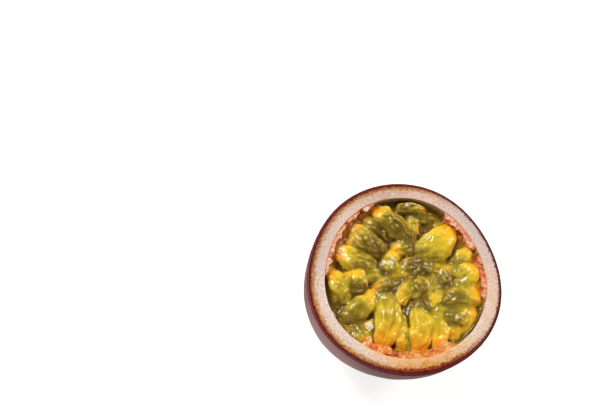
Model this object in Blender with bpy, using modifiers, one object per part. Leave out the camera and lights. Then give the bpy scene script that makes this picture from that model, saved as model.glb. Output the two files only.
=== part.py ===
"""Half of a purple passion fruit, cut across its middle and lying on its rounded end.

Two solids: the rind, which is a cup of skin and pith with three seed-bearing ridges down its inner wall, and the
pulp, which is the heap of juice sacs that fills the cup. +Z points out of the cut face. The origin is the middle
of the small flat spot that the half rests on. Bearings are in degrees from +X towards +Y.
"""

import math
import random
from collections import namedtuple

import bmesh
import bpy
from mathutils import Matrix, Vector

MM = 0.001

# Driving sizes of the fruit
CUT_RADIUS = 27.85 * MM  # to the outside of the skin, at the cut
DEPTH = 33.0 * MM  # from the cut face down to the flat spot
FULLNESS = 2.15  # 2 is an ellipse, and more is a fuller, squarer side
REST_RADIUS = 6.5 * MM  # of the flat spot
RIND_AT_CUT = 4.6 * MM
RIND_AT_END = 5.5 * MM
HOLLOW_SHIFT = 0.45 * MM  # the hollow lies a little off the fruit's axis
HOLLOW_SHIFT_BEARING = 35.0

# The fruit isn't quite round: it swells between the three ridges.
SWELLS = (  # swells round the fruit, height, bearing of one of them
    (2, 0.15 * MM, 40.0),
    (3, 0.42 * MM, 93.0),
    (5, 0.12 * MM, 63.0),
)

# The three ridges that the juice sacs grow from
RIDGE_BEARINGS = (25.0, 146.0, 272.0)
RIDGE_HALF_SPAN = 36.0  # degrees
RIDGE_HEIGHT = 1.1 * MM
TOOTH_HEIGHT = 0.9 * MM  # of the torn stalk ends that stand on a ridge
TEETH_ROUND_FRUIT = 30

# The heap of juice sacs
CORE_GAP = 0.4 * MM  # clear space between the heap and the inner wall
SAC_GAP = (0.4 * MM, 0.7 * MM)  # each sac keeps its own distance from the wall, within this range
PRESSED_ZONE = 0.9 * MM  # how far in front of that a sac is already squeezed
CORE_MIDDLE_DEPTH = 4.2 * MM  # of the juice between the sacs, below the cut face
CORE_EDGE_DEPTH = 4.6 * MM
CORE_BUMP = 0.5 * MM
ROOT_HEIGHT = 1.6 * MM  # how much the stalks of the sacs raise it beside a ridge
PULP_ABOVE_CUT = 0.9 * MM  # the most that a plump sac bulges out of the cut
FLATTENED_TOP = 0.8 * MM  # how far below that a bulge starts to flatten
SAC_DROOP = 0.09  # how far a sac's ends hang, as a share of its length
SAC_BEND = 0.10  # the most that it bends sideways, as a share of its length
SAC_NARROWING = 0.15  # how much slimmer it is at its foot
SAC_SWELLING = 1.36  # its true width against the width that shows between its neighbours
SAC_FLATNESS = 0.80  # its height against its width
SAC_FULLNESS = 2.3  # of its ends: 2 is an ellipse, and more is a fuller, squarer end
SACS_BENEATH = 26  # that fill the gaps from below
BENEATH_REACH = 21.5 * MM
BENEATH_LENGTH = (7.5, 11.0)
BENEATH_WIDTH = (5.0, 6.2)
BENEATH_DEPTH = (4.2, 5.6)

# How finely the curved shapes are faceted
RIND_SIDES = 120
CORE_SIDES = 48
OUTER_ROWS = 9
INNER_ROWS = 7
CORE_RINGS = 4
SAC_SIDES = 14
SAC_ROWS = 9

SEED = 11

# Each sac that shows: bearing and reach of its foot from the fruit's axis, the bearing that it points along,
# its length and width, and how deep its own axis lies below the cut face.
Sac = namedtuple("Sac", "bearing reach heading length width depth")
SACS_OF_UPPER_LEFT_RIDGE = (
    Sac(114, 23.9, 324, 12.5, 5.2, 3.0),
    Sac(124, 21.4, 329, 11.5, 4.6, 4.2),
    Sac(136, 22.0, 324, 14.0, 5.4, 3.6),
    Sac(159, 21.2, 338, 13.4, 5.0, 3.4),
    Sac(172, 20.4, 300, 11.2, 4.2, 3.6),
    Sac(166, 14.7, 289, 7.4, 4.4, 3.4),
    Sac(185, 19.8, 297, 8.0, 4.2, 6.5),
    Sac(206, 6.9, 222, 14.7, 5.2, 4.6),
)
SACS_OF_LOWER_RIDGE = (
    Sac(233, 20.2, 144, 7.5, 4.4, 5.5),
    Sac(243, 21.0, 118, 7.5, 4.6, 4.8),
    Sac(255, 20.8, 84, 17.5, 6.0, 3.3),
    Sac(269, 19.5, 89, 8.0, 3.9, 3.8),
    Sac(282, 20.3, 86, 13.7, 5.2, 3.2),
    Sac(298, 21.4, 92, 11.0, 4.2, 3.6),
    Sac(312, 21.4, 92, 7.0, 3.8, 4.2),
    Sac(321, 22.9, 86, 7.5, 4.2, 4.6),
)
SACS_OF_MIDDLE = (
    Sac(117, 9.3, 18, 10.0, 4.2, 4.0),
    Sac(154, 3.5, 27, 10.7, 4.8, 3.8),
    Sac(246, 6.4, 32, 11.2, 4.8, 3.6),
    Sac(326, 7.3, 51, 8.4, 4.0, 4.2),
    Sac(28, 14.4, 271, 8.6, 4.0, 4.2),
    Sac(277, 11.4, 90, 7.0, 4.2, 5.6),
    Sac(309, 9.7, 42, 8.2, 3.9, 4.0),
    Sac(122, 8.0, 256, 8.0, 4.4, 5.2),
)
SACS_OF_RIGHT_RIDGE = (
    Sac(47, 24.4, 219, 14.8, 6.5, 2.8),
    Sac(46, 9.0, 8, 7.0, 3.9, 4.2),
    Sac(38, 21.8, 230, 8.0, 4.4, 4.6),
    Sac(28, 22.8, 222, 7.0, 3.8, 2.8),
    Sac(15, 22.0, 220, 7.2, 4.8, 2.6),
    Sac(1, 24.0, 183, 9.4, 3.4, 2.6),
    Sac(352, 24.2, 187, 13.0, 5.9, 2.9),
    Sac(339, 24.0, 186, 12.2, 5.4, 3.6),
)
SACS_OF_FAR_SIDE = (
    Sac(71, 23.6, 183, 10.0, 4.4, 3.6),
    Sac(79, 13.6, 86, 6.8, 4.0, 4.6),
    Sac(66, 20.7, 186, 7.6, 4.6, 5.4),
    Sac(58, 23.4, 180, 8.0, 4.4, 5.4),
    Sac(98, 21.0, 262, 9.0, 4.6, 6.0),
)
SACS = (
    SACS_OF_UPPER_LEFT_RIDGE
    + SACS_OF_LOWER_RIDGE
    + SACS_OF_MIDDLE
    + SACS_OF_RIGHT_RIDGE
    + SACS_OF_FAR_SIDE
)


def full_depth():
    """Depth of the dome if its end weren't flattened."""
    share = (REST_RADIUS / CUT_RADIUS) ** FULLNESS
    return DEPTH / (1 - share) ** (1 / FULLNESS)


def dome_radius(depth, radius, dome_depth):
    """Radius of a dome at a depth below the cut face."""
    share = min(max(depth / dome_depth, 0.0), 1.0)
    return radius * (1 - share**FULLNESS) ** (1 / FULLNESS)


def dome_points(radius, dome_depth, rows, least_radius):
    """Points (radius, height) down a dome from the cut face until it is no wider than least_radius."""
    last_turn = math.acos((least_radius / radius) ** (FULLNESS / 2))
    points = []
    for row in range(rows + 1):
        turn = last_turn * row / rows
        out = radius * math.cos(turn) ** (2 / FULLNESS)
        down = dome_depth * math.sin(turn) ** (2 / FULLNESS)
        points.append((out, DEPTH - down))
    return points


def inner_radius(depth):
    return dome_radius(depth, CUT_RADIUS - RIND_AT_CUT, full_depth() - RIND_AT_END)


def roundness(bearing):
    """Radius at a bearing, as a share of the mean radius."""
    swell = sum(
        height * math.cos(count * (bearing - math.radians(first)))
        for count, height, first in SWELLS
    )
    return 1 + swell / CUT_RADIUS


def on_ridge(bearing):
    """0 between the ridges, rising gently to 1 along the middle half of one."""
    share = 0.0
    for middle in RIDGE_BEARINGS:
        away = abs(math.remainder(bearing - math.radians(middle), math.tau))
        rise = min(max(2 - 2 * away / math.radians(RIDGE_HALF_SPAN), 0.0), 1.0)
        share = max(share, rise * rise * (3 - 2 * rise))
    return share


def ridge_height(bearing, depth, toothed):
    """How far a ridge stands out of the inner wall. It dies out towards the fruit's end."""
    tooth = TOOTH_HEIGHT
    if toothed:
        tooth *= 0.5 + 0.5 * math.cos(TEETH_ROUND_FRUIT * bearing)
        tooth *= 0.7 + 0.3 * math.sin(7 * bearing + 16 * depth / DEPTH)
    fade = inner_radius(depth) / (CUT_RADIUS - RIND_AT_CUT)
    return on_ridge(bearing) * (RIDGE_HEIGHT + tooth) * fade


def hollow_shift(bearing, depth):
    """How much further out the inner wall lies at a bearing, because the hollow is off the fruit's axis."""
    fade = inner_radius(depth) / (CUT_RADIUS - RIND_AT_CUT)
    return HOLLOW_SHIFT * math.cos(bearing - math.radians(HOLLOW_SHIFT_BEARING)) * fade


def wall_radius(bearing, depth, toothed=False):
    """Radius of the inner wall, or of the smooth line over the tops of its teeth."""
    wall = inner_radius(depth) * roundness(bearing) + hollow_shift(bearing, depth)
    return wall - ridge_height(bearing, depth, toothed)


def new_material(name, colour, roughness):
    material = bpy.data.materials.new(name)
    material.use_nodes = True
    shader = material.node_tree.nodes["Principled BSDF"]
    shader.inputs["Base Color"].default_value = (*colour, 1.0)
    shader.inputs["Roughness"].default_value = roughness
    shader.inputs["Metallic"].default_value = 0.0
    return material


def turned_mesh(name, profile, sides):
    """The mesh of a profile, points (radius, height), turned round the fruit's axis."""
    line = bpy.data.meshes.new(name + "_line")
    points = [(out, 0.0, up) for out, up in profile]
    line.from_pydata(points, [(i, i + 1) for i in range(len(points) - 1)], [])
    turned = bpy.data.objects.new(name + "_line", line)
    bpy.context.scene.collection.objects.link(turned)
    screw = turned.modifiers.new("Turn", "SCREW")
    screw.steps = sides
    screw.render_steps = sides
    screw.use_merge_vertices = True
    screw.merge_threshold = 0.01 * MM
    graph = bpy.context.evaluated_depsgraph_get()
    mesh = bpy.data.meshes.new_from_object(turned.evaluated_get(graph))
    mesh.name = name
    bpy.data.objects.remove(turned)
    bpy.data.meshes.remove(line)
    return mesh


def polar(point):
    """(bearing, distance from the fruit's axis, depth below the cut face) of a point."""
    return math.atan2(point.y, point.x), math.hypot(point.x, point.y), DEPTH - point.z


def set_radius(point, radius):
    """Moves a point straight out or in, to a radius round the fruit's axis."""
    now = math.hypot(point.x, point.y)
    point.x *= radius / now
    point.y *= radius / now


def finished(name, mesh, material, collection):
    """A smooth-shaded object of the fruit, with sharp edges kept at the cut."""
    mesh.materials.clear()
    mesh.materials.append(material)
    mesh.shade_smooth()
    mesh.set_sharp_from_angle(angle=math.radians(50))
    solid = bpy.data.objects.new(name, mesh)
    collection.objects.link(solid)
    return solid


def make_rind(collection):
    """The cup: out over the cut face, then down the skin to the flat spot."""
    inner = dome_points(CUT_RADIUS - RIND_AT_CUT, full_depth() - RIND_AT_END, INNER_ROWS, 0.0)
    outer = dome_points(CUT_RADIUS, full_depth(), OUTER_ROWS, REST_RADIUS)
    inner[-1] = (0.0, inner[-1][1])
    profile = inner[::-1] + outer + [(0.0, 0.0)]
    mesh = turned_mesh("rind", profile, RIND_SIDES)
    for vertex in mesh.vertices:
        bearing, out, depth = polar(vertex.co)
        if out < 0.01 * MM:
            continue
        if out < inner_radius(depth) + 0.1 * MM:
            set_radius(vertex.co, wall_radius(bearing, depth, toothed=True))
        else:
            set_radius(vertex.co, out * roundness(bearing))
    return finished("rind", mesh, new_material("purple_skin", (0.110, 0.048, 0.050), 0.42), collection)


def core_profile():
    """From the middle of the core's top, out to the wall and down it. The profile runs bottom to top, then in."""
    wall = dome_points(
        CUT_RADIUS - RIND_AT_CUT - CORE_GAP,
        full_depth() - RIND_AT_END - CORE_GAP,
        INNER_ROWS,
        0.0,
    )
    side = [(out, up) for out, up in wall if DEPTH - up > CORE_EDGE_DEPTH + 1.0 * MM]
    side[-1] = (0.0, side[-1][1])
    edge = inner_radius(CORE_EDGE_DEPTH) - CORE_GAP
    top = []
    for ring in range(CORE_RINGS + 1):
        share = ring / CORE_RINGS
        sink = CORE_MIDDLE_DEPTH + (CORE_EDGE_DEPTH - CORE_MIDDLE_DEPTH) * share**2
        top.append((edge * share, DEPTH - sink))
    return top + side


def make_core():
    """The heap's bare core: it fills the cup up to its own gently bumpy top."""
    mesh = turned_mesh("pulp_core", core_profile(), CORE_SIDES)
    edge = inner_radius(CORE_EDGE_DEPTH) - CORE_GAP
    for vertex in mesh.vertices:
        bearing, out, depth = polar(vertex.co)
        if out < 0.01 * MM:
            continue
        if depth > CORE_EDGE_DEPTH - 0.01 * MM:
            set_radius(vertex.co, wall_radius(bearing, depth) - inner_radius(depth) + out)
            if depth < CORE_EDGE_DEPTH + 0.01 * MM:
                vertex.co.z += ROOT_HEIGHT * on_ridge(bearing)
        else:
            wave = math.sin(3 * bearing + 90 * out / edge) * math.sin(5 * bearing)
            vertex.co.z += CORE_BUMP * wave * math.sin(math.pi * out / edge)
    core = bpy.data.objects.new("pulp_core", mesh)
    bpy.context.scene.collection.objects.link(core)
    return core


def make_sac(sac, number, collection, chance):
    """One juice sac: a bag, slim at its foot, that lies along its heading with both ends hanging a little."""
    length = sac.length * MM
    width = sac.width * SAC_SWELLING * MM
    heading = math.radians(sac.heading)
    bearing = math.radians(sac.bearing)
    bend = chance.uniform(-SAC_BEND, SAC_BEND) * length
    gap = chance.uniform(*SAC_GAP)
    reach = min(sac.reach * MM, wall_radius(bearing, sac.depth * MM) - gap)
    foot = Vector((math.cos(bearing), math.sin(bearing), 0.0)) * reach
    along = Vector((math.cos(heading), math.sin(heading), 0.0))
    middle = foot + along * length / 2
    middle.z = DEPTH - sac.depth * MM
    bm = bmesh.new()
    bmesh.ops.create_uvsphere(bm, u_segments=SAC_SIDES, v_segments=SAC_ROWS, radius=1.0)
    for vertex in bm.verts:
        across, up, forward = vertex.co
        girth = width / 2 * (1 - SAC_NARROWING * ((1 - forward) / 2) ** 1.5)
        if abs(forward) < 0.999:
            round_end = (1 - abs(forward) ** SAC_FULLNESS) ** (1 / SAC_FULLNESS)
            girth *= round_end / math.sqrt(1 - forward**2)
        vertex.co = Vector((
            forward * length / 2,
            across * girth + bend * (0.5 - forward**2),
            up * girth * SAC_FLATNESS + SAC_DROOP * length * (0.3 - forward**2),
        ))
    bmesh.ops.recalc_face_normals(bm, faces=bm.faces)
    bmesh.ops.transform(
        bm,
        matrix=Matrix.Translation(middle) @ Matrix.Rotation(heading, 4, "Z"),
        verts=bm.verts,
    )
    for vertex in bm.verts:
        keep_in_cup(vertex.co, gap)
    mesh = bpy.data.meshes.new(f"sac_{number:02d}")
    bm.to_mesh(mesh)
    bm.free()
    made = bpy.data.objects.new(mesh.name, mesh)
    collection.objects.link(made)
    return made


def keep_in_cup(point, gap):
    """Presses a point of a sac against the inner wall, and keeps it from bulging far out of the cut."""
    over = point.z - (DEPTH + PULP_ABOVE_CUT - FLATTENED_TOP)
    if over > 0:
        point.z -= over - FLATTENED_TOP * (1 - math.exp(-over / FLATTENED_TOP))
    bearing, out, depth = polar(point)
    limit = wall_radius(bearing, depth) - gap
    past = out - (limit - PRESSED_ZONE)
    if past > 0:
        set_radius(point, limit - PRESSED_ZONE * math.exp(-past / PRESSED_ZONE))


def largest_shell(mesh):
    """Keeps only the outer surface: a hollow that the union sealed is filled, and a loose scrap dropped."""
    bm = bmesh.new()
    bm.from_mesh(mesh)
    unseen = set(bm.faces)
    shells = []
    while unseen:
        start = unseen.pop()
        shell = [start]
        for face in shell:
            for edge in face.edges:
                for neighbour in edge.link_faces:
                    if neighbour in unseen:
                        unseen.remove(neighbour)
                        shell.append(neighbour)
        shells.append(shell)
    shells.sort(key=len)
    for shell in shells[:-1]:
        bmesh.ops.delete(bm, geom=shell, context="FACES")
    bm.to_mesh(mesh)
    bm.free()


def sacs_beneath(chance):
    """The sacs of the layer below, scattered evenly by turning a golden angle from each one to the next."""
    below = []
    for number in range(SACS_BENEATH):
        bearing = math.degrees(number * math.pi * (3 - math.sqrt(5)))
        reach = BENEATH_REACH / MM * math.sqrt((number + 0.5) / SACS_BENEATH)
        heading = bearing + 180 + chance.uniform(-40, 40)
        length = chance.uniform(*BENEATH_LENGTH)
        width = chance.uniform(*BENEATH_WIDTH)
        below.append(Sac(bearing, reach, heading, length, width, chance.uniform(*BENEATH_DEPTH)))
    return below


def make_pulp(collection):
    """The heap: its core with every sac that shows fused on, as one solid."""
    core = make_core()
    sacs = bpy.data.collections.new("sacs")
    bpy.context.scene.collection.children.link(sacs)
    chance = random.Random(SEED)
    for number, sac in enumerate(SACS):
        make_sac(sac, number, sacs, chance)
    for number, sac in enumerate(sacs_beneath(chance), start=len(SACS)):
        make_sac(sac, number, sacs, chance)
    union = core.modifiers.new("Join", "BOOLEAN")
    union.operation = "UNION"
    union.operand_type = "COLLECTION"
    union.collection = sacs
    union.solver = "EXACT"
    graph = bpy.context.evaluated_depsgraph_get()
    mesh = bpy.data.meshes.new_from_object(core.evaluated_get(graph))
    mesh.name = "pulp"
    for made in list(sacs.objects):
        bpy.data.objects.remove(made)
    bpy.data.collections.remove(sacs)
    bpy.data.objects.remove(core)
    largest_shell(mesh)
    return finished("pulp", mesh, new_material("juice_sacs", (0.55, 0.42, 0.03), 0.2), collection)


def main():
    for old in list(bpy.data.objects):
        bpy.data.objects.remove(old)
    fruit = bpy.data.collections.new("passion_fruit_half")
    bpy.context.scene.collection.children.link(fruit)
    make_rind(fruit)
    make_pulp(fruit)


main()
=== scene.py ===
"""The lower half of a purple passion fruit, cut across its middle and lying with the cut face up."""

import math
import random
from collections import namedtuple

import bmesh
import bpy
import numpy as np
from mathutils import Matrix, Vector, noise
from mathutils.bvhtree import BVHTree


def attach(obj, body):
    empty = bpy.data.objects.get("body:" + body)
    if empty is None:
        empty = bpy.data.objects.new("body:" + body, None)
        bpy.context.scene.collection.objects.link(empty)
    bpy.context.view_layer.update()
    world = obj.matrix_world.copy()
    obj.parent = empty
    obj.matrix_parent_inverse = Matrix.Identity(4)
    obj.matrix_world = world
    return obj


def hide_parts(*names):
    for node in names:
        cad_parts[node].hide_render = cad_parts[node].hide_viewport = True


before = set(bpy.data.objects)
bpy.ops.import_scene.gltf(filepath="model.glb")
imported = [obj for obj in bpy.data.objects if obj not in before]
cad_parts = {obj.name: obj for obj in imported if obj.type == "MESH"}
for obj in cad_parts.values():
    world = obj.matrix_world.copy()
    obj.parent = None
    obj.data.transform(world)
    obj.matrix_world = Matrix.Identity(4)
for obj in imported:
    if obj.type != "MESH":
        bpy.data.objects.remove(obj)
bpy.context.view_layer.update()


# Skin and pith.
# The shell of the fruit: a thin leathery purple skin, a band of tanned flesh under it and dry white pith
# inside. It grew as one wall, and a knife cut it across, so the flat ring of the cut face shows all three.

MM = 0.001
CUT_RADIUS = 27.85 * MM
DEPTH = 33.0 * MM
FULLNESS = 2.15  # 2 is an ellipse, and more is a fuller, squarer side
REST_RADIUS = 6.5 * MM
RIND_AT_CUT = 4.6 * MM
RIND_AT_END = 5.5 * MM
SWELLS = (  # swells round the fruit, height, bearing of one of them
    (2, 0.15 * MM, 40.0),
    (3, 0.42 * MM, 93.0),
    (5, 0.12 * MM, 63.0),
)
RIDGE_BEARINGS = (25.0, 146.0, 272.0)
RIDGE_HALF_SPAN = 36.0  # degrees
HOLLOW_SHIFT = 0.45 * MM  # the hollow lies a little to one side
HOLLOW_SHIFT_BEARING = 35.0
REST_SHARE = (REST_RADIUS / CUT_RADIUS) ** FULLNESS
FULL_DEPTH = DEPTH / (1 - REST_SHARE) ** (1 / FULLNESS)  # where the end would close without its flat spot
RIND_SIDES = 600
INNER_ROWS = 48
SKIN_ROWS = 52
CUT_ROWS = (  # mm in from the skin, closest where it curls
    4.52, 4.2, 3.8, 3.3, 2.8, 2.3, 1.8, 1.4,
    1.1, 0.9, 0.7, 0.55, 0.4, 0.25, 0.12, 0.06,
)
REST_ROWS = (0.97, 0.6, 0.3, 0.003)  # shares of the flat spot's radius
POLE_RADIUS = 0.02 * MM
INNER_EDGE_DROP = 0.05 * MM
EDGE_WIDTH = 0.9  # mm of leathery skin that curls down at the cut
EDGE_DROP = 0.35  # mm
SKIN_RELIEF = ((0.10, 3.1), (0.05, 11))  # height in mm, and how many lumps lie along a radius of the fruit
WALL_RELIEF = ((0.14, 7), (0.07, 20))
INNER_RELIEF = ((0.12, 9),)
SKIN_DROP = 0.10  # mm, so that its highest lumps stay within the fruit's outline
CUT_DROP = 0.03
REDDENED = ((290, 62, 1.5),)  # where the band under the skin is red-brown, and where it is purple
PURPLED = ((15, 80, 1.8),)
STAINED = ((285, 44, 1.3), (350, 40, 0.45), (95, 60, 0.6))  # where juice has stained the pith
GREYED = ((40, 60, 0.9), (105, 50, 0.8), (160, 45, 0.7))  # where the pith is a cooler, greyer tone
SHEEN_PLACES = ((222, 42, 1.0), (100, 60, 0.4))  # where the skin is painted paler as a painted sheen
BLUSHED = ((272, 50, 0.7),)  # where a ridge's pink spreads into the pith, in mm
BLUSH_EDGE = 3.85  # mm in from the skin
MOST_BLUSH = 0.65
# the inner wall turns to its wet olive colour over this depth: partly juice, partly painted shade
WET_AND_SHADE_BELOW = 2.2 * MM


def linear(hex_colour):
    """An sRGB hex colour as linear red, green, blue and alpha."""
    parts = [int(hex_colour[i : i + 2], 16) / 255 for i in (1, 3, 5)]
    parts = [c / 12.92 if c <= 0.04045 else ((c + 0.055) / 1.055) ** 2.4 for c in parts]
    return (*parts, 1.0)


def add_node(tree, kind, inputs=None, stops=None, **settings):
    """Adds a node: its own settings, values or other nodes' outputs by input, and a ramp's stops.

    A colour mix takes its share at input 0 and its two colours at 6 and 7, and gives output 2.
    """
    made = tree.nodes.new(kind)
    for name, value in settings.items():
        setattr(made, name, value)
    for socket, value in (inputs or {}).items():
        if isinstance(value, bpy.types.NodeSocket):
            tree.links.new(value, made.inputs[socket])
        else:
            made.inputs[socket].default_value = value
    for number, (place, colour) in enumerate(stops or []):
        ramp = made.color_ramp.elements
        stop = ramp[number] if number < 2 else ramp.new(place)
        stop.position = place
        stop.color = linear(colour) if isinstance(colour, str) else (colour, colour, colour, 1.0)
    return made


def new_material(name, inputs):
    """A material and its tree, with the Principled shader's fixed values set on it."""
    material = bpy.data.materials.new(name)
    material.use_nodes = True
    shader = material.node_tree.nodes["Principled BSDF"]
    for socket, value in inputs.items():
        shader.inputs[socket].default_value = value
    return material, material.node_tree, shader


def in_millimetres(tree):
    """Object coordinates in millimetres, so that a pattern's scale is one over its real size."""
    place = add_node(tree, "ShaderNodeTexCoord").outputs["Object"]
    scaled = add_node(tree, "ShaderNodeMapping", {"Vector": place, "Scale": (1000, 1000, 1000)})
    return scaled.outputs["Vector"]


def clamped(amount):
    """An amount kept between 0 and 1."""
    return min(max(amount, 0.0), 1.0)


def eased(amount):
    """An amount kept between 0 and 1, leaving 0 and reaching 1 gently."""
    amount = clamped(amount)
    return amount * amount * (3 - 2 * amount)


def relief(place, layers):
    """Soft lumps of several sizes at a place: (height, how many to a unit of length) for each layer."""
    return sum(height * noise.noise(place * fineness) for height, fineness in layers)


def bearing_share(bearing, places):
    """How much of something there is at a bearing, from (middle, half span, amount) for each place."""
    share = 0.0
    for middle, half_span, amount in places:
        away = abs(math.remainder(bearing - math.radians(middle), math.tau)) / math.radians(half_span)
        share = max(share, amount * (0.5 + 0.5 * math.cos(math.pi * away)) if away < 1 else 0.0)
    return share


def roundness(bearing):
    """The fruit's radius at a bearing as a share of its mean radius."""
    swell = sum(
        height * math.cos(count * (bearing - math.radians(first)))
        for count, height, first in SWELLS
    )
    return 1 + swell / CUT_RADIUS


def inner_radius(depth):
    """Mean radius of the inner wall at a depth below the cut face."""
    share = clamped(depth / (FULL_DEPTH - RIND_AT_END))
    return (CUT_RADIUS - RIND_AT_CUT) * (1 - share**FULLNESS) ** (1 / FULLNESS)


def on_ridge(bearing):
    """0 between the three seed-bearing ridges, rising gently to 1 along the middle half of one."""
    share = 0.0
    for middle in RIDGE_BEARINGS:
        away = abs(math.remainder(bearing - math.radians(middle), math.tau))
        share = max(share, eased(2 - 2 * away / math.radians(RIDGE_HALF_SPAN)))
    return share


def wall_radius(bearing, depth, height=0.0):
    """Radius of the inner wall, whose ridges stand the given height out of it. They die out with depth."""
    fade = inner_radius(depth) / (CUT_RADIUS - RIND_AT_CUT)
    shift = HOLLOW_SHIFT * math.cos(bearing - math.radians(HOLLOW_SHIFT_BEARING))
    return inner_radius(depth) * roundness(bearing) + (shift - on_ridge(bearing) * height) * fade


def rind_profile():
    """Rows (radius, depth, distance in from the skin): up the inner wall, over the cut, down the skin."""
    rows = []
    for step in range(INNER_ROWS):
        turn = math.pi / 2 * (1 - step / INNER_ROWS)
        out = (CUT_RADIUS - RIND_AT_CUT) * math.cos(turn) ** (2 / FULLNESS)
        down = (FULL_DEPTH - RIND_AT_END) * math.sin(turn) ** (2 / FULLNESS)
        rows.append((max(out, POLE_RADIUS), down, RIND_AT_CUT))
    rows.append((CUT_RADIUS - RIND_AT_CUT, INNER_EDGE_DROP, RIND_AT_CUT))
    for inward in CUT_ROWS:
        curl = EDGE_DROP * max(1 - inward / EDGE_WIDTH, 0.0) ** 1.7
        rows.append((CUT_RADIUS - inward * MM, curl * MM, inward * MM))
    last_turn = math.acos(math.sqrt(REST_SHARE))
    for step in range(SKIN_ROWS):
        turn = last_turn * (0.02 + 0.98 * step / (SKIN_ROWS - 1)) ** 1.1
        out = CUT_RADIUS * math.cos(turn) ** (2 / FULLNESS)
        down = FULL_DEPTH * math.sin(turn) ** (2 / FULLNESS)
        rows.append((out, down, 0.0))
    for share in REST_ROWS:
        rows.append((REST_RADIUS * share, DEPTH, 0.0))
    return rows


def rind_point(radius, depth, from_skin, bearing):
    """A point of the rind, with the slight unevenness of its skin, its cut face or its inner wall."""
    around = Vector((math.cos(bearing), math.sin(bearing), depth / CUT_RADIUS))
    wall = wall_radius(bearing, depth) + relief(around, WALL_RELIEF) * MM
    lift = 0.0
    if from_skin == 0.0:
        out = radius * roundness(bearing)
        if depth < DEPTH:
            out -= (SKIN_DROP + relief(around, SKIN_RELIEF)) * MM
    elif from_skin < RIND_AT_CUT:
        share = from_skin / RIND_AT_CUT
        out = CUT_RADIUS * roundness(bearing) * (1 - share) + wall * share
        lift = -CUT_DROP * MM * (1 + noise.noise(around * 14))
    else:
        out = wall * radius / inner_radius(depth) if radius > 5 * POLE_RADIUS else radius
        out += min(depth / (3 * MM), 1.0) * relief(around, INNER_RELIEF) * MM
    return out * math.cos(bearing), out * math.sin(bearing), DEPTH - depth + lift


def rind_values(depth, from_skin, bearing):
    """What colours a point of the rind: how far in from the skin it is, its stains, its painted sheen, and
    its wet places, painted darker deeper down the inner wall as shade.
    """
    around = Vector((math.cos(bearing), math.sin(bearing), depth / CUT_RADIUS))
    wet_and_shade = 0.0
    if from_skin >= RIND_AT_CUT:
        wet_and_shade = min(depth / WET_AND_SHADE_BELOW, 1.0) * (1 - 0.9 * on_ridge(bearing))
    past_edge = from_skin / MM - BLUSH_EDGE + bearing_share(bearing, BLUSHED)
    blush = (past_edge + 0.5 * noise.noise(around * 16)) * on_ridge(bearing)
    return {
        "from_skin": from_skin / MM,
        "wet_and_shade": wet_and_shade,
        "blush": min(max(blush, 0.0), MOST_BLUSH) * (1 - wet_and_shade),
        "reddened": clamped(bearing_share(bearing, REDDENED)),
        "purpled": clamped(bearing_share(bearing, PURPLED)),
        "stained": bearing_share(bearing, STAINED),
        "greyed": bearing_share(bearing, GREYED),
        "painted_sheen": bearing_share(bearing, SHEEN_PLACES),
    }


def grid_faces(rows, columns, closed):
    """Quads over a grid of points, row after row, that may close on itself round the fruit."""
    faces = []
    for row in range(rows - 1):
        for column in range(columns if closed else columns - 1):
            a = row * columns + column
            b = row * columns + (column + 1) % columns
            faces.append((a, b, b + columns, a + columns))
    return faces


def new_piece(name, points, faces, material, values):
    """A smooth-shaded mesh with one value per point for each named attribute."""
    mesh = bpy.data.meshes.new(name)
    mesh.from_pydata([tuple(point) for point in points], [], faces)
    for attribute, numbers in values.items():
        layer = mesh.attributes.new(attribute, "FLOAT", "POINT")
        layer.data.foreach_set("value", np.asarray(numbers, dtype=np.float32))
    mesh.materials.append(material)
    mesh.shade_smooth()
    piece = bpy.data.objects.new(name, mesh)
    bpy.context.scene.collection.objects.link(piece)
    return piece


points = []
values = {}
for radius, depth, from_skin in rind_profile():
    for side in range(RIND_SIDES):
        bearing = math.tau * side / RIND_SIDES
        points.append(rind_point(radius, depth, from_skin, bearing))
        for name, amount in rind_values(depth, from_skin, bearing).items():
            values.setdefault(name, []).append(amount)
faces = grid_faces(len(points) // RIND_SIDES, RIND_SIDES, closed=True)
faces.append(tuple(range(RIND_SIDES))[::-1])
faces.append(tuple(range(len(points) - RIND_SIDES, len(points))))

# Passion fruit rind: leathery skin with corky specks, and dry spongy pith. The skin shines softly, the pith
# not at all, and where the knife passed the skin shows as a maroon line with a tanned band inside it. A thin
# pale line painted just inside the skin's edge is a painted highlight on its curl. The specks and the grain
# of the pith are finer than the picture can show, so both are drawn coarser.
MOTTLE_WIDTH = 4.0  # mm, as are the widths of all the patterns below
SPECK_SPACING = 0.9
BAND_WAVE = 1.0
GRAIN_WIDTH = 0.5
STAIN_WIDTH = 2.2
# the pale stop at 0.075 is a painted highlight on the skin's curled edge
BANDS = (  # each place is a share of the way from the skin to the hollow
    (0.0, "#66303a"),
    (0.055, "#72303a"),
    (0.075, "#a06a68"),
    (0.095, "#5c1519"),
    (0.18, "#6e2018"),
    (0.225, "#8e4c30"),
    (0.30, "#b07c52"),
    (0.40, "#c89c70"),
    (0.45, "#dab48a"),
    (0.52, "#e4ccc0"),
    (1.0, "#ecd8d1"),
)
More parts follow.
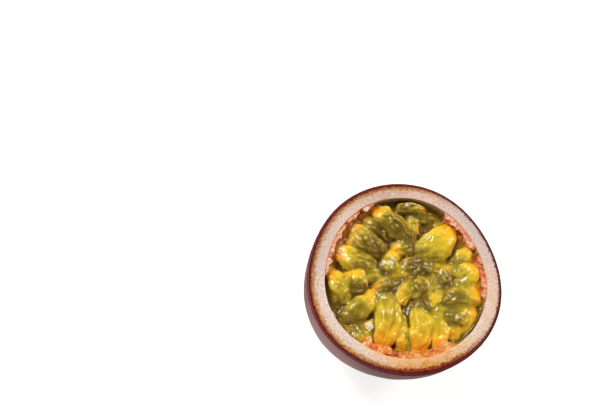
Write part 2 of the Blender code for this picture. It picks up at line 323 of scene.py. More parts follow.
# the pale stop at 0.13 is a painted highlight on the skin's curled edge
RED_BANDS = (
    (0.0, "#5c3340"),
    (0.11, "#74303c"),
    (0.13, "#8a4650"),
    (0.155, "#500f12"),
    (0.21, "#5c1713"),
    (0.25, "#8a3e2c"),
    (0.37, "#985138"),
    (0.42, "#c8946a"),
    (0.50, "#e4c298"),
    (1.0, "#f0d4ae"),
)
PURPLE_BANDS = (
    (0.0, "#4c2d34"),
    (0.13, "#562b34"),
    (0.17, "#743c44"),
    (0.215, "#905a58"),
    (0.26, "#d0ac98"),
    (0.33, "#ead4ca"),
    (1.0, "#f0dcd2"),
)
rind_material, tree, shader = new_material("Passion_fruit_rind", {"IOR": 1.4, "Specular IOR Level": 0.08})
mm = in_millimetres(tree)
given = {
    name: add_node(tree, "ShaderNodeAttribute", attribute_name=name).outputs["Fac"]
    for name in values
}
mottle = add_node(
    tree, "ShaderNodeTexNoise", {"Vector": mm, "Scale": 1 / MOTTLE_WIDTH, "Detail": 6.0, "Roughness": 0.7}
)
skin_colour = add_node(
    tree,
    "ShaderNodeValToRGB",
    {"Fac": mottle.outputs["Fac"]},
    stops=[(0.28, "#3e1618"), (0.5, "#5f292a"), (0.74, "#824944")],
)
specks = add_node(
    tree, "ShaderNodeTexVoronoi", {"Vector": mm, "Scale": 1 / SPECK_SPACING, "Randomness": 1.0}
)
speck_mask = add_node(
    tree, "ShaderNodeValToRGB", {"Fac": specks.outputs["Distance"]}, stops=[(0.10, 0.55), (0.28, 0.0)]
)
# Painted sheen: the skin is mixed towards a pale mauve where soft reflected light would fall on it.
sheen_share = add_node(tree, "ShaderNodeMath", {0: given["painted_sheen"], 1: 0.54}, operation="MULTIPLY")
skin = skin_colour.outputs["Color"]
for share, colour in (
    (sheen_share.outputs[0], "#b58a84"),
    (speck_mask.outputs["Color"], "#8f6a60"),
):
    over = add_node(tree, "ShaderNodeMix", {0: share, 6: skin, 7: linear(colour)}, data_type="RGBA")
    skin = over.outputs[2]

# The bands under the skin wander in and out, so a pattern stretches the distance that they are read at.
wave = add_node(
    tree, "ShaderNodeTexNoise", {"Vector": mm, "Scale": 1 / BAND_WAVE, "Detail": 6.0, "Roughness": 0.72}
)
stretch = add_node(
    tree, "ShaderNodeMath", {0: wave.outputs["Fac"], 1: 1.5, 2: 0.25}, operation="MULTIPLY_ADD"
)
wandering = add_node(
    tree, "ShaderNodeMath", {0: given["from_skin"], 1: stretch.outputs[0]}, operation="MULTIPLY"
)
band_place = add_node(
    tree, "ShaderNodeMath", {0: wandering.outputs[0], 1: RIND_AT_CUT / MM}, operation="DIVIDE"
)
pith = add_node(tree, "ShaderNodeValToRGB", {"Fac": band_place.outputs[0]}, stops=BANDS).outputs["Color"]
for where, stops in (("reddened", RED_BANDS), ("purpled", PURPLE_BANDS)):
    others = add_node(tree, "ShaderNodeValToRGB", {"Fac": band_place.outputs[0]}, stops=stops)
    over = add_node(
        tree,
        "ShaderNodeMix",
        {0: given[where], 6: pith, 7: others.outputs["Color"]},
        data_type="RGBA",
    )
    pith = over.outputs[2]
grain = add_node(
    tree, "ShaderNodeTexNoise", {"Vector": mm, "Scale": 1 / GRAIN_WIDTH, "Detail": 4.0, "Roughness": 0.8}
)
grain_tone = add_node(
    tree,
    "ShaderNodeValToRGB",
    {"Fac": grain.outputs["Fac"]},
    stops=[(0.36, 0.60), (0.50, 0.94), (0.64, 1.10)],
)
stain_patches = add_node(tree, "ShaderNodeTexNoise", {"Vector": mm, "Scale": 1 / STAIN_WIDTH, "Detail": 2.0})
stain_mask = add_node(
    tree, "ShaderNodeMapRange", {"Value": stain_patches.outputs["Fac"], "From Min": 0.26, "From Max": 0.74}
)
stain_share = add_node(
    tree,
    "ShaderNodeMath",
    {0: stain_mask.outputs[0], 1: given["stained"]},
    operation="MULTIPLY",
    use_clamp=True,
)
# The inner wall's wet olive colour is partly juice and partly painted shade, and it grows with depth below
# the cut.
for share, colour, way in (
    (1.0, grain_tone.outputs["Color"], "MULTIPLY"),
    (stain_share.outputs[0], linear("#f2bd72"), "MULTIPLY"),
    (given["greyed"], linear("#e4e2ea"), "MULTIPLY"),
    (given["blush"], linear("#e8b48a"), "MIX"),
    (given["wet_and_shade"], linear("#b89850"), "MIX"),
):
    over = add_node(tree, "ShaderNodeMix", {0: share, 6: pith, 7: colour}, data_type="RGBA", blend_type=way)
    pith = over.outputs[2]
inside_skin = add_node(tree, "ShaderNodeMath", {0: given["from_skin"], 1: 0.05}, operation="GREATER_THAN")
both = add_node(tree, "ShaderNodeMix", {0: inside_skin.outputs[0], 6: skin, 7: pith}, data_type="RGBA")
tree.links.new(both.outputs[2], shader.inputs["Base Color"])
dull = add_node(tree, "ShaderNodeMapRange", {"Value": inside_skin.outputs[0], "To Min": 0.45, "To Max": 0.8})
gloss = add_node(
    tree, "ShaderNodeMath", {0: given["wet_and_shade"], 1: -0.5, 2: dull.outputs[0]}, operation="MULTIPLY_ADD"
)
tree.links.new(gloss.outputs[0], shader.inputs["Roughness"])
bumps = add_node(
    tree, "ShaderNodeBump", {"Height": grain.outputs["Fac"], "Strength": 0.3, "Distance": 0.15 * MM}
)
tree.links.new(bumps.outputs["Normal"], shader.inputs["Normal"])

rind = new_piece("skin_and_pith", points, faces, rind_material, values)
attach(rind, "root")
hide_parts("rind")


# Seed-bearing ridges.
# Three soft salmon-pink cushions that run down the inner wall, where the juice sacs are fastened. The knife
# and the pull of the sacs have left them lumpy, with hollows where a sac sat and a few raised flaps.

Ridge = namedtuple("Ridge", "thickness paleness peach flaps")
Tooth = namedtuple("Tooth", "place half_width height reach")  # all in mm, and the place from the middle
RIDGES = (  # in the order of RIDGE_BEARINGS
    Ridge(1.4 * MM, 0.58, 0.0, ()),
    Ridge(0.95 * MM, 0.68, 0.0, (Tooth(9.6, 1.3, 1.2, 3.0),)),
    Ridge(2.0 * MM, 0.58, 1.0, (Tooth(-12.0, 1.5, 1.9, 4.0), Tooth(11.4, 1.6, 1.7, 4.0))),
)
RIDGE_END = 1.08 * RIDGE_HALF_SPAN  # degrees from a ridge's middle to its last points
RIDGE_COLUMNS = 330
RIDGE_ROWS = 44
RIDGE_FOOT_DEPTH = 14.0 * MM
RIDGE_SEAT = 0.2  # share of the rows that climb from the wall to the top edge
RIDGE_TOP = 0.24  # mm below the cut
TOP_SWING = 0.30  # mm
TOP_RELIEF = ((0.6, 0.9), (0.4, 2.3))  # height in mm, and how many lumps to a mm
LUMPS = ((0.60, 0.5), (0.36, 1.1), (0.12, 2.6))
RAISED = ((0.38, 0.9), (0.14, 2.0))
WALL_ARC = 22  # mm, the wall's radius near the cut
TOOTH_RUN = 14.0  # mm either side of a ridge's middle
TOOTH_SPACING = (1.5, 6.0)  # mm round the wall
HOLLOWS = (  # bearing, half span, and how deep as a share
    (40, 4, 0.9),
    (24, 5, 1.0),
    (12, 4, 0.8),
    (124, 4, 0.9),
    (139, 4, 0.8),
    (168, 3, 0.6),
    (263, 4, 0.9),
)


def tooth_row(ridge, chance):
    """The flaps and the low ragged teeth along one ridge."""
    teeth = list(ridge.flaps)
    place = -TOOTH_RUN
    while place < TOOTH_RUN:
        place += chance.uniform(*TOOTH_SPACING)
        half_width = chance.uniform(0.5, 1.6)
        height = chance.uniform(0.1, 0.7)
        reach = chance.uniform(1.0, 3.0)
        teeth.append(Tooth(place, half_width, height, reach))
    return teeth


def tooth_height(teeth, place, down):
    """How high the tallest tooth stands at a place along a ridge and a distance down from its top, in mm."""
    tallest = 0.0
    for tooth in teeth:
        near = 1 - abs(place - tooth.place + 0.15 * down) / tooth.half_width
        if near > 0:
            tallest = max(tallest, tooth.height * near**0.9 * math.exp(-((down / tooth.reach) ** 2)))
    return tallest


def ridge_point(ridge, middle, teeth, away, share):
    """A point of a ridge so many degrees from its middle, how pale it is there with painted light and shade,
    and how thinned out it is there.
    """
    bearing = math.radians(middle + away)
    arc = Vector((math.cos(bearing), math.sin(bearing), 0.0)) * WALL_ARC
    top = (RIDGE_TOP + TOP_SWING * relief(arc, TOP_RELIEF)) * MM
    # The first rows climb from a seat in the wall to the top edge, and the others run down to the foot.
    over = min(share / RIDGE_SEAT, 1.0)
    depth = top + 0.15 * MM * (1 - over) ** 2
    if share > RIDGE_SEAT:
        depth = top + (RIDGE_FOOT_DEPTH - top) * ((share - RIDGE_SEAT) / (1 - RIDGE_SEAT)) ** 1.7
    down = (depth - top) / MM
    tooth = tooth_height(teeth, math.radians(away) * WALL_ARC, down)
    hollow = bearing_share(bearing, HOLLOWS)
    radius = wall_radius(bearing, depth)
    out = (radius - over * ridge.thickness) / MM
    spot = Vector((out * math.cos(bearing), out * math.sin(bearing), depth / MM))
    bent = spot + 0.8 * Vector(noise.noise_vector(spot * 0.6))
    lump = relief(bent, LUMPS)
    height = ridge.thickness * (1 - 0.45 * hollow) + (0.8 * lump + 0.75 * tooth) * MM
    fading = min(1.0, 4.0 * (1 - depth / RIDGE_FOOT_DEPTH))
    stand = over * height * fading - 0.25 * MM * (1 - over)
    # Towards its ends the ridge thins out unevenly and sinks just behind the wall.
    whole = eased((1 - abs(away) / RIDGE_END) / 0.28 + 0.5 * noise.noise(spot * 0.5))
    whole = max(whole, min(1.5 * tooth, 1.0) * (abs(away) < 0.97 * RIDGE_END))
    radius -= whole * stand - 0.2 * MM * (1 - whole)
    lift = (relief(bent, RAISED) - 0.35 * hollow) * min(1.0, 3 * over) * whole * math.exp(-down / 3) * MM
    # Lumps and teeth are painted paler as painted light; hollows, and rows further down, darker as painted
    # shade.
    pale = ridge.paleness + 0.30 * tooth + 0.55 * lump - 0.10 * down - 0.5 * hollow * (0.3 + 0.7 * over)
    point = (radius * math.cos(bearing), radius * math.sin(bearing), DEPTH - depth + lift)
    return point, clamped(pale), 1 - whole


points = []
faces = []
values = {"pale": [], "dying": [], "peach": []}
chance = random.Random(7)
noise.seed_set(7)  # so that the lumps bend the same way in every run
for middle, ridge in zip(RIDGE_BEARINGS, RIDGES):
    teeth = tooth_row(ridge, chance)
    start = len(points)
    for row in range(RIDGE_ROWS):
        for column in range(RIDGE_COLUMNS):
            away = RIDGE_END * (2 * column / (RIDGE_COLUMNS - 1) - 1)
            point, pale, dying = ridge_point(ridge, middle, teeth, away, row / (RIDGE_ROWS - 1))
            points.append(point)
            values["pale"].append(pale)
            values["dying"].append(dying)
            values["peach"].append(ridge.peach)
    faces += [
        tuple(start + corner for corner in face[::-1])
        for face in grid_faces(RIDGE_ROWS, RIDGE_COLUMNS, closed=False)
    ]

# Moist placenta: soft salmon-pink tissue that passes a little light. Its raised lumps and teeth are painted
# paler and more orange as painted light, and its hollows and lower parts deep red-brown as painted shade.
# Juice has stained it in patches.
TONE_WIDTH = 1.2  # mm
JUICE_PATCH = 2.6
placenta, tree, shader = new_material(
    "Moist_placenta",
    {
        "Roughness": 0.35,
        "IOR": 1.4,
        "Subsurface Weight": 0.25,
        "Subsurface Radius": (1.0, 0.5, 0.3),
        "Subsurface Scale": 0.8 * MM,
        "Coat Weight": 0.25,
        "Coat Roughness": 0.2,
    },
)
mm = in_millimetres(tree)
given = {
    name: add_node(tree, "ShaderNodeAttribute", attribute_name=name).outputs["Fac"]
    for name in values
}
patches = add_node(
    tree, "ShaderNodeTexNoise", {"Vector": mm, "Scale": 1 / TONE_WIDTH, "Detail": 4.0, "Roughness": 0.6}
)
patch_swing = add_node(tree, "ShaderNodeMath", {0: patches.outputs["Fac"], 1: 0.5}, operation="SUBTRACT")
tone = add_node(
    tree, "ShaderNodeMath", {0: patch_swing.outputs[0], 1: 1.1, 2: given["pale"]}, operation="MULTIPLY_ADD"
)
salmon = add_node(
    tree,
    "ShaderNodeValToRGB",
    {"Fac": tone.outputs[0]},
    stops=[(0.0, "#5a1608"), (0.22, "#98451c"), (0.42, "#cc7446"), (0.62, "#e09c7a"), (1.0, "#f0c6ae")],
)
peachy = add_node(
    tree,
    "ShaderNodeValToRGB",
    {"Fac": tone.outputs[0]},
    stops=[
        (0.0, "#8a340a"),
        (0.22, "#b85a14"),
        (0.42, "#d6822a"),
        (0.56, "#dc8634"),
        (0.74, "#e69e4c"),
        (1.0, "#f0c07a"),
    ],
)
juicy = add_node(tree, "ShaderNodeTexNoise", {"Vector": mm, "Scale": 1 / JUICE_PATCH, "Detail": 3.0})
juicy_mask = add_node(
    tree, "ShaderNodeValToRGB", {"Fac": juicy.outputs["Fac"]}, stops=[(0.45, 0.0), (0.65, 0.7)]
)
flesh = salmon.outputs["Color"]
for share, colour, way in (
    (given["peach"], peachy.outputs["Color"], "MIX"),
    (juicy_mask.outputs["Color"], linear("#f8b060"), "MULTIPLY"),
    (given["dying"], linear("#b08c4a"), "MIX"),
):
    over = add_node(tree, "ShaderNodeMix", {0: share, 6: flesh, 7: colour}, data_type="RGBA", blend_type=way)
    flesh = over.outputs[2]
tree.links.new(flesh, shader.inputs["Base Color"])
bumps = add_node(
    tree, "ShaderNodeBump", {"Height": patches.outputs["Fac"], "Strength": 0.2, "Distance": 0.3 * MM}
)
tree.links.new(bumps.outputs["Normal"], shader.inputs["Normal"])

ridges = new_piece("seed_ridges", points, faces, placenta, values)
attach(ridges, "root")
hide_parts("rind")


# Juice sacs.
# Each is a thin wet bag of juice and pulp round one dark seed, fastened by its orange foot to a ridge. The
# foot is opaque, and the bag clears towards its tip. They cling together, and juice fills what they leave.

# Where a sac's foot is by bearing and reach, where it points, its size, how deep its middle lies, and from 0
# to 1 how ripe it is and how dark its seed shows. Angles are in degrees and lengths in mm.
Sac = namedtuple("Sac", "bearing reach heading length width depth ripe seed")
SACS = (
    Sac(114, 23.9, 324, 12.5, 5.2, 3.0, 0.40, 0.8),
    Sac(124, 21.4, 329, 11.5, 4.6, 4.2, 0.05, 0.9),
    Sac(136, 22.0, 324, 14.0, 5.4, 3.6, 0.30, 0.6),
    Sac(159, 21.2, 338, 13.4, 5.0, 3.4, 0.55, 0.4),
    Sac(172, 20.4, 300, 11.2, 3.7, 3.6, 0.80, 0.4),
    Sac(164, 14.3, 286, 7.4, 3.9, 3.2, 1.00, 0.1),
    Sac(185, 19.8, 297, 8.0, 4.2, 6.5, 0.05, 1.0),
    Sac(206, 6.9, 222, 14.7, 5.2, 4.6, 0.60, 0.6),
    Sac(233, 20.2, 144, 7.5, 4.4, 5.5, 0.30, 0.7),
    Sac(243, 21.0, 118, 7.5, 4.6, 4.8, 0.45, 0.5),
    Sac(255, 20.8, 84, 17.5, 6.0, 3.3, 0.75, 0.3),
    Sac(269, 19.5, 89, 8.0, 3.9, 3.8, 0.95, 0.1),
    Sac(282, 20.3, 86, 13.7, 5.2, 3.2, 0.85, 0.2),
    Sac(298, 21.4, 92, 11.0, 4.2, 3.6, 0.85, 0.3),
    Sac(312, 21.4, 92, 7.0, 3.8, 4.2, 0.90, 0.2),
    Sac(321, 22.9, 86, 7.5, 4.2, 4.6, 0.65, 0.4),
    Sac(117, 9.3, 18, 10.0, 4.2, 4.0, 0.40, 0.7),
    Sac(154, 3.5, 27, 10.7, 4.8, 3.8, 0.25, 0.9),
    Sac(246, 6.4, 32, 11.2, 4.8, 3.6, 0.55, 0.6),
    Sac(326, 7.3, 51, 8.4, 4.0, 4.2, 0.50, 0.4),
    Sac(28, 14.4, 271, 8.6, 4.0, 4.2, 0.25, 0.6),
    Sac(277, 11.4, 90, 7.0, 4.2, 5.6, 0.35, 0.7),
    Sac(309, 9.7, 42, 8.2, 3.9, 4.0, 0.95, 0.0),
    Sac(122, 8.0, 256, 8.0, 4.4, 5.2, 0.00, 1.0),
    Sac(47, 24.4, 219, 14.8, 6.5, 2.8, 0.78, 0.2),
    Sac(46, 9.0, 8, 7.0, 3.9, 4.2, 0.85, 0.2),
    Sac(38, 21.8, 230, 8.0, 4.4, 4.6, 0.20, 0.8),
    Sac(28, 22.8, 222, 7.0, 3.8, 2.8, 0.70, 0.2),
    Sac(15, 22.0, 220, 7.2, 4.8, 2.6, 0.75, 0.0),
    Sac(1, 24.0, 183, 9.4, 3.4, 2.6, 0.60, 0.3),
    Sac(352, 24.2, 187, 13.0, 5.9, 2.9, 0.48, 0.4),
    Sac(339, 24.0, 186, 12.2, 5.4, 3.6, 0.45, 0.5),
    Sac(71, 23.6, 183, 10.0, 4.4, 3.6, 0.35, 0.5),
    Sac(79, 13.6, 86, 6.8, 4.0, 4.6, 0.70, 0.3),
    Sac(66, 20.7, 186, 7.6, 4.6, 5.4, 0.10, 0.9),
    Sac(58, 23.4, 180, 8.0, 4.4, 5.4, 0.30, 0.8),
    Sac(98, 21.0, 262, 9.0, 4.6, 6.0, 0.20, 0.8),
)
SAC_SIDES = 44
SAC_RINGS = 34
SAC_DROOP = 0.09  # shares of the sac's length
SAC_BEND = 0.10
SAC_NARROWING = 0.15  # shares of its width
SAC_SWELLING = 1.36
SAC_FLATNESS = 0.80
SAC_END_FULLNESS = 2.3
SAC_LOBES = ((2, 0.06), (3, 0.05))  # lobes round a sac, height as a share of its girth
SAC_LUMPS = ((0.75, 0.32, 1), (0.30, 0.7, -1), (0.05, 1.4, 1))  # height in mm, lumps to a mm, own pattern
SAC_CREASES = (  # height in mm, half width, fineness along and round the sac, own pattern
    (-0.38, 0.22, 1.0, 1.6, 1),
    (-0.11, 0.16, 2.4, 3.4, -1),
    (0.30, 0.09, 1.6, 2.2, 2),
)
SAC_GAP = (0.24 * MM, 0.42 * MM)
PRESSED_ZONE = 0.6 * MM
FLATTENED = 0.8 * MM  # how far below its highest the heap starts to flatten
PULP_ABOVE_CUT = 0.9 * MM
RIDGE_HEIGHT = 1.1 * MM
SAC_RIDGE_HEIGHT = 0.3 * RIDGE_HEIGHT  # how much of a ridge keeps the sacs off the wall
ROOTED_REACH = 19  # mm, beyond which a sac's foot sits on the wall and is drawn out to it
FOOT_PUSH = 1.8  # mm
FRONT_FOOT_PUSH = 0.5
FRONT_BEARINGS = (235, 320)  # where the thickest ridge leaves less room
SEED_PLACE = 0.61  # share of the sac's length
SEED_HALF_LENGTH = 0.31
SEED_HALF_WIDTH = 0.42  # share of the sac's width
SACS_BENEATH = 26
BENEATH_REACH = 21.5  # mm
JUICE_DEPTH = 4.2 * MM
JUICE_RELIEF = ((0.6, 0.35), (0.3, 1.1))  # height in mm, and how many lumps to a mm
ROOT_START = 1.5 * MM
ROOT_WIDTH = 2.2 * MM  # how far from a ridge the sacs' stalks fill the gaps
ROOT_HEIGHT = 2.2 * MM
MENISCUS = 2.6 * MM  # how far the juice climbs the wall
MENISCUS_WIDTH = 0.8 * MM
DRY_WALL = ((198, 22, 1.0), (80, 40, 0.9))  # where it climbs less
CLING = (0.06 * MM, 0.50 * MM)  # how softly two sacs run into each other where they meet
FILLED = (0.15, 0.75)  # how much of a crevice the juice fills
ONE_SKIN = (337, 18.2, 6.2)  # bearing, reach and radius of two large sacs that have grown together
SQUARE = 0.15 * MM
SQUARES = 2 * 168 + 1
SOFTENED = 0.13 * MM  # how far the membrane smooths the heap, and how wide the gaps and folds are in it
NARROW_GAP = 0.45 * MM
WIDE_GAP = 0.8 * MM
FOLD_WIDTH = 0.35 * MM
# The heap is painted darker as shade from this depth below the cut, over the next span.
SHADED_BELOW = 2.6 * MM
SHADE_SPAN = 3.5 * MM
PULP_SIDES = 640
PULP_RINGS = 124
PULP_MIDDLE = 0.0015  # share of the radius where the first ring is
PULP_ROWS = (7, 10, 14, 18, 22, 25.5)  # mm below the cut


def kept_in_cup(point, gap):
    """A sac's point, pressed against the inner wall and kept from bulging far out of the cut."""
    x, y, z = point
    over = z - (DEPTH + PULP_ABOVE_CUT - FLATTENED)
    if over > 0:
        z -= over - FLATTENED * (1 - math.exp(-over / FLATTENED))
    out = math.hypot(x, y)
    limit = wall_radius(math.atan2(y, x), DEPTH - z, SAC_RIDGE_HEIGHT) - gap
    past = out - (limit - PRESSED_ZONE)
    if past > 0:
        radius = limit - PRESSED_ZONE * math.exp(-past / PRESSED_ZONE)
        x *= radius / out
        y *= radius / out
    return x, y, z


def sac_relief(forward, turn, spot, own):
    """The lumps, creases and folds of a sac at a point of its skin, in mm."""
    height = sum(
        high * noise.noise(spot * fineness + pattern * own)
        for high, fineness, pattern in SAC_LUMPS
    )
    for high, half_width, fine_along, fine_round, pattern in SAC_CREASES:
        place = Vector((forward * fine_along, math.cos(turn) * fine_round, math.sin(turn) * fine_round))
        off_line = abs(noise.noise(place + pattern * own))
        height += high * max(0.0, half_width - off_line) / half_width
    return height


def bag(sac, bend, gap, own_chance):
    """A sac's points from its foot to its tip, where its middle is, and its own place in the patterns."""
    length = sac.length * MM
    width = sac.width * SAC_SWELLING * MM
    heading = math.radians(sac.heading)
    bearing = math.radians(sac.bearing)
    push = FRONT_FOOT_PUSH if FRONT_BEARINGS[0] < sac.bearing < FRONT_BEARINGS[1] else FOOT_PUSH
    furthest = wall_radius(bearing, sac.depth * MM, SAC_RIDGE_HEIGHT) - gap
    reach = min((sac.reach + push * (sac.reach > ROOTED_REACH)) * MM, furthest)
    length += max(reach - sac.reach * MM, 0.0) * 0.7
    along = Vector((math.cos(heading), math.sin(heading), 0.0))
    middle = Vector((math.cos(bearing), math.sin(bearing), 0.0)) * reach + along * length / 2
    middle.z = DEPTH - sac.depth * MM
    place = Matrix.Translation(middle) @ Matrix.Rotation(heading, 4, "Z")
    own = Vector([own_chance.uniform(-50, 50) for _ in range(3)])
    lobe = own_chance.uniform(0, math.tau)
    waist = own_chance.uniform(-0.05, 0.08)
    made = []
    for ring in range(SAC_RINGS + 1):
        forward = -math.cos(math.pi * ring / SAC_RINGS)
        round_end = max(1 - abs(forward) ** SAC_END_FULLNESS, 0.0) ** (1 / SAC_END_FULLNESS)
        girth = width / 2 * (1 - SAC_NARROWING * ((1 - forward) / 2) ** 1.5)
        girth *= 1 + waist * math.cos(2.2 * math.pi * forward)
        for side in range(SAC_SIDES):
            turn = math.tau * side / SAC_SIDES
            lobes = sum(high * math.cos(count * turn + lobe) for count, high in SAC_LOBES)
            size = girth * round_end * (1 + lobes)
            spot = Vector((forward * length / 2, size * math.cos(turn), size * math.sin(turn))) / MM
            size += sac_relief(forward, turn, spot, own) * MM * min(1.0, 3 * round_end)
            local = Vector((
                forward * length / 2,
                size * math.cos(turn) + bend * (0.5 - forward**2),
                size * math.sin(turn) * SAC_FLATNESS + SAC_DROOP * length * (0.3 - forward**2),
            ))
            made.append(kept_in_cup(place @ local, gap))
    return made, middle, own


# The heap is looked at from above, square by square: which sacs lie under a square, how high each stands
# there, and where on that sac it is. The juice between them is one more such layer.
lines = (np.arange(SQUARES) - SQUARES // 2) * SQUARE
across, up_down = np.meshgrid(lines, lines, indexing="ij")
bag_faces = grid_faces(SAC_RINGS + 1, SAC_SIDES, closed=True)


def seen_from_above(sac, chance, own_chance):
    """The squares that a sac covers, its top over each, and how ripe and how dark it is there."""
    bend = chance.uniform(-SAC_BEND, SAC_BEND) * sac.length * MM
    gap = chance.uniform(*SAC_GAP)
    made, middle, own = bag(sac, bend, gap, own_chance)
    skin = BVHTree.FromPolygons(made, bag_faces)
    low = np.min(made, axis=0)
    high = np.max(made, axis=0)
    columns = np.flatnonzero((lines >= low[0]) & (lines <= high[0]))
    rows = np.flatnonzero((lines >= low[1]) & (lines <= high[1]))
    window = np.ix_(columns, rows)
    tops = np.full((len(columns), len(rows)), -1.0)
    for i, x in enumerate(lines[columns]):
        for j, y in enumerate(lines[rows]):
            spot = skin.ray_cast(Vector((x, y, 2 * DEPTH)), Vector((0.0, 0.0, -1.0)))[0]
            if spot is not None:
                tops[i, j] = spot.z
    heading = math.radians(sac.heading)
    east = across[window] - middle.x
    north = up_down[window] - middle.y
    forward = east * math.cos(heading) + north * math.sin(heading)
    aside = north * math.cos(heading) - east * math.sin(heading)
    along = np.clip(forward / (sac.length * MM) + 0.5, 0, 1)
    beside_seed = aside / (SEED_HALF_WIDTH * sac.width * SAC_SWELLING * MM)
    from_seed = np.hypot((along - SEED_PLACE) / SEED_HALF_LENGTH, beside_seed)
    shown = {
        "along": along,
        "seed": sac.seed * np.clip(1 - from_seed, 0, 1) ** 0.7,
        "ripe": np.full(tops.shape, sac.ripe),
    }
    inside = np.stack([forward / MM + own.x, aside / MM + own.y, (tops - middle.z) / MM + own.z], axis=-1)
    return window, tops, shown, inside


def sacs_beneath(chance):
    """The layer below, which shows only in the gaps: turned by the golden angle each, tips to the middle."""
    made = []
    for number in range(SACS_BENEATH):
        bearing = math.degrees(number * math.pi * (3 - math.sqrt(5)))
        reach = BENEATH_REACH * math.sqrt((number + 0.5) / SACS_BENEATH)
        heading = bearing + 180 + chance.uniform(-40, 40)
        length = chance.uniform(7.5, 11.0)
        width = chance.uniform(5.0, 6.2)
        depth = chance.uniform(4.2, 5.6)
        ripe = 0.7 if number % 3 == 0 else 0.2
        made.append(Sac(bearing, reach, heading, length, width, depth, ripe, 0.6))
    return made


def juice_at(x, y):
    """The juice at a place: its top, the stalks in it, and how it and the sacs meet there."""
    spot = Vector((x, y, 0.0)) / MM
    bearing = math.atan2(y, x)
    from_wall = wall_radius(bearing, 2 * MM) - math.hypot(x, y)
    rooted = clamped(1 - (from_wall - ROOT_START) / ROOT_WIDTH) * on_ridge(bearing)
    rooted *= 0.8 + 0.6 * noise.noise(spot * 0.9)
    climbed = MENISCUS * math.exp(-max(from_wall, 0.0) / MENISCUS_WIDTH)
    climbed *= 1 - bearing_share(bearing, DRY_WALL)
    top = DEPTH - JUICE_DEPTH + relief(spot, JUICE_RELIEF) * MM + rooted * ROOT_HEIGHT + climbed
    clinging = clamped(0.5 + noise.noise(spot * 0.3))
    fuller = clamped(0.5 + 1.1 * noise.noise(spot * 0.25 - Vector((5, 5, 5))))
    return {
        "top": top,
        "rooted": rooted,
        "cling": CLING[0] + (CLING[1] - CLING[0]) * clinging,
        "filled": FILLED[0] + (FILLED[1] - FILLED[0]) * fuller,
        "crisp": min(max(0.70 + 0.9 * noise.noise(spot * 0.4 + Vector((9, 9, 9))), 0.15), 1.0),
    }


def blurred(values, size):
    """A field softened over a distance, both ways."""
    reach = int(3 * size / SQUARE) + 1
    bell = np.exp(-0.5 * (np.arange(-reach, reach + 1) * SQUARE / size) ** 2)
    bell /= bell.sum()
    for axis in (0, 1):
        padding = [(reach, reach) if way == axis else (0, 0) for way in (0, 1)]
        wide = np.pad(values, padding, mode="edge")
        values = sum(
            part * np.take(wide, range(step, step + SQUARES), axis=axis) for step, part in enumerate(bell)
        )
    return values


def looked_up(values, x, y):
    """A field's value at a point between the squares."""
    i = min(max(x / SQUARE + SQUARES // 2, 0.0), SQUARES - 1.001)
    j = min(max(y / SQUARE + SQUARES // 2, 0.0), SQUARES - 1.001)
    a, b = int(i), int(j)
    s, t = i - a, j - b
    first = values[a, b] * (1 - s) + values[a + 1, b] * s
    second = values[a, b + 1] * (1 - s) + values[a + 1, b + 1] * s
    return first * (1 - t) + second * t


chance = random.Random(11)
own_chance = random.Random(31)
layers = [seen_from_above(sac, chance, own_chance) for sac in SACS]
layers += [seen_from_above(sac, chance, own_chance) for sac in sacs_beneath(chance)]
juice = {name: np.zeros(across.shape) for name in juice_at(0.0, 0.0)}
for i, x in enumerate(lines):
    for j, y in enumerate(lines):
        for name, amount in juice_at(x, y).items():
            juice[name][i, j] = amount
shown = {
    "along": np.ones(across.shape),
    "seed": np.zeros(across.shape),
    "ripe": np.full(across.shape, 0.35),
    "rooted": juice["rooted"],
}
inside = np.stack([across / MM, up_down / MM, juice["top"] / MM], axis=-1)
layers.append(((slice(None), slice(None)), juice["top"], shown, inside))

# The layers' tops run softly into each other, and each layer counts for as much as it stands up there.
highest = np.full(across.shape, -1.0)
for window, tops, _, _ in layers:
    highest[window] = np.maximum(highest[window], tops)
weight = np.zeros(across.shape)
fields = {field: np.zeros(across.shape) for field in shown}
insides = np.zeros((*across.shape, 3))
for window, tops, shown, inside in layers:
    share = np.exp(np.maximum((tops - highest[window]) / juice["cling"][window], -60.0))
    weight[window] += share
    insides[window] += inside * share[..., None]
    for field, amount in shown.items():
        fields[field][window] += amount * share
insides /= weight[..., None]
for field in fields:
    fields[field] /= weight

# Wet membrane bridges the narrowest gaps, juice fills part of the rest, and two sacs have grown together.
surface = blurred(highest + juice["cling"] * np.log(weight), SOFTENED)
around_it = blurred(surface, WIDE_GAP)
narrow = np.clip((blurred(surface, NARROW_GAP) - surface) / (0.30 * MM) - 0.1, 0, 1)
wide = np.clip((around_it - surface) / (0.8 * MM) - 0.1, 0, 1)
# How far into a gap between sacs each point lies, which the membrane paints dark brown as painted shade.
fields["crevice"] = np.maximum(0.75 * narrow, wide) * juice["crisp"]
surface += juice["filled"] * np.maximum(around_it - surface, 0)
bearing, reach, radius = ONE_SKIN
from_middle = np.hypot(
    across - reach * MM * math.cos(math.radians(bearing)),
    up_down - reach * MM * math.sin(math.radians(bearing)),
)
grown = np.exp(-((from_middle / (radius * MM)) ** 4))
surface += 0.9 * grown * np.maximum(blurred(surface, 2.0 * MM) - surface, 0)
fields["crevice"] *= 1 - 0.8 * grown
# Painted highlight: raised folds of the membrane are painted pale yellow.
fields["fold"] = np.clip((surface - blurred(surface, FOLD_WIDTH)) / (0.10 * MM) - 0.3, 0, 1)
# Painted shade: the lower the heap lies below the cut, the darker it is painted.
fields["deep"] = np.clip((DEPTH - surface - SHADED_BELOW) / SHADE_SPAN, 0, 1)

